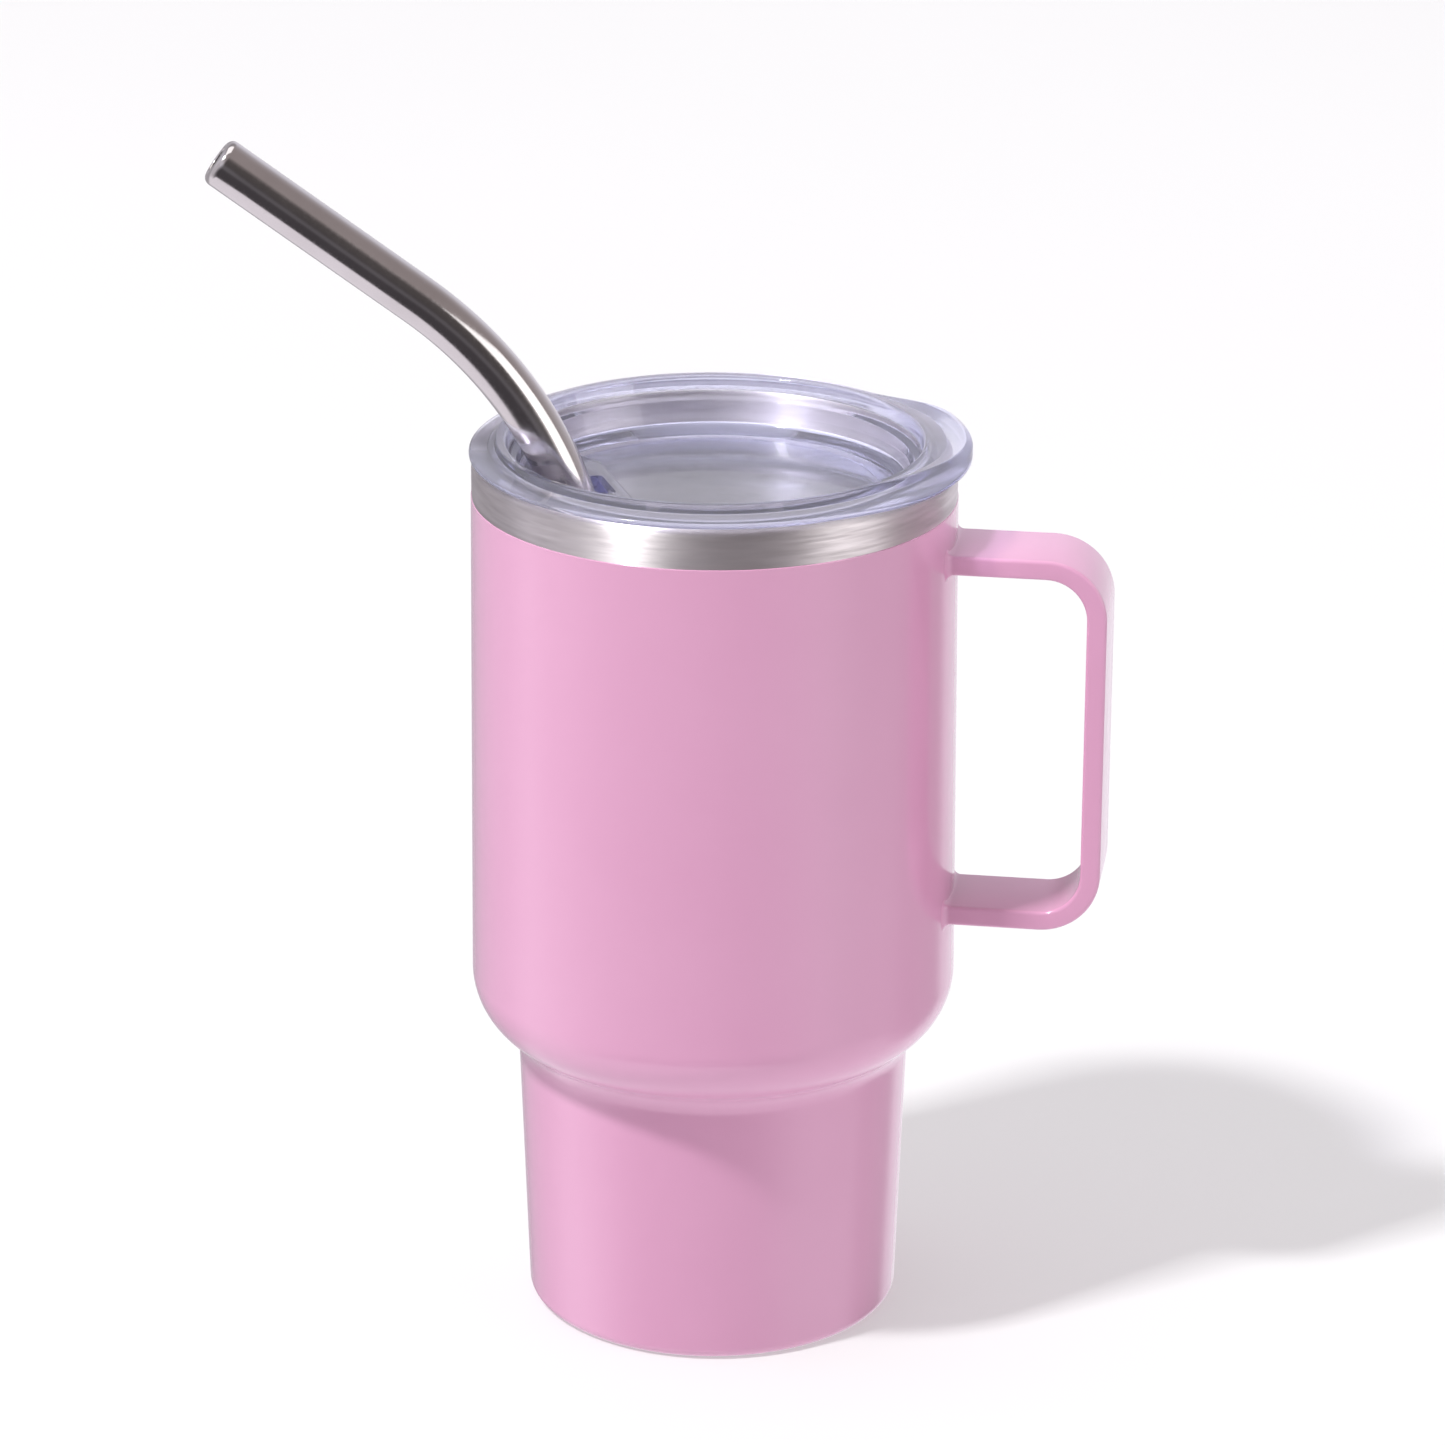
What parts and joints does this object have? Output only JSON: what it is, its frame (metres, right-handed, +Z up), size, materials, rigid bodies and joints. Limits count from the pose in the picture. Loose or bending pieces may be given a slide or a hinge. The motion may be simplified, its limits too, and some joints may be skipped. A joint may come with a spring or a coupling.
{
  "type": "insulated tumbler with lid and straw",
  "caption": "Small double-wall steel tumbler with a stepped foot, strip handle, press-in clear lid with thumb tab, and a bent steel straw.",
  "frame": {"origin": "centre of the flat underside of the base", "axes": "+Z up along the body's axis, +X from the axis towards the handle"},
  "size_m": [0.0911, 0.0508, 0.1275],
  "materials": {
    "pink_coat": "gloss",
    "brushed_rim": "brushed round the lip",
    "liner_steel": "satin",
    "base_steel": "satin",
    "copper_foil": "satin foil",
    "solder_glass": "gloss",
    "getter_powder": "matte",
    "clear_plastic": "clear, gloss",
    "silicone": "satin, translucent",
    "polished_steel": "polished"
  },
  "bodies": {
    "tumbler": {"outer_shell": "pink_coat", "mouth_rim": "brushed_rim", "liner_wall": "liner_steel", "liner_floor": "liner_steel", "foil_wrap": "copper_foil", "closing_plate": "liner_steel", "vacuum_seal_bead": "solder_glass", "base_cover": "base_steel", "getter_pellet": "getter_powder", "getter_clip": "liner_steel", "handle_strip": "pink_coat", "upper_arm_weld": "pink_coat", "lower_arm_weld": "pink_coat"},
    "lid": {"lid_body": "clear_plastic", "lid_seal": "silicone"},
    "straw": {"straw": "polished_steel"}
  },
  "joints": [
    {"name": "lid_lift", "type": "slide", "parent": "tumbler", "child": "lid", "axis": [0, 0, 1], "range_m": [0, 0.1]},
    {"name": "straw_pull", "type": "slide", "parent": "lid", "child": "straw", "axis": [-0.3056, -0.0457, 0.9511], "range_m": [0, 0.09]}
  ]
}
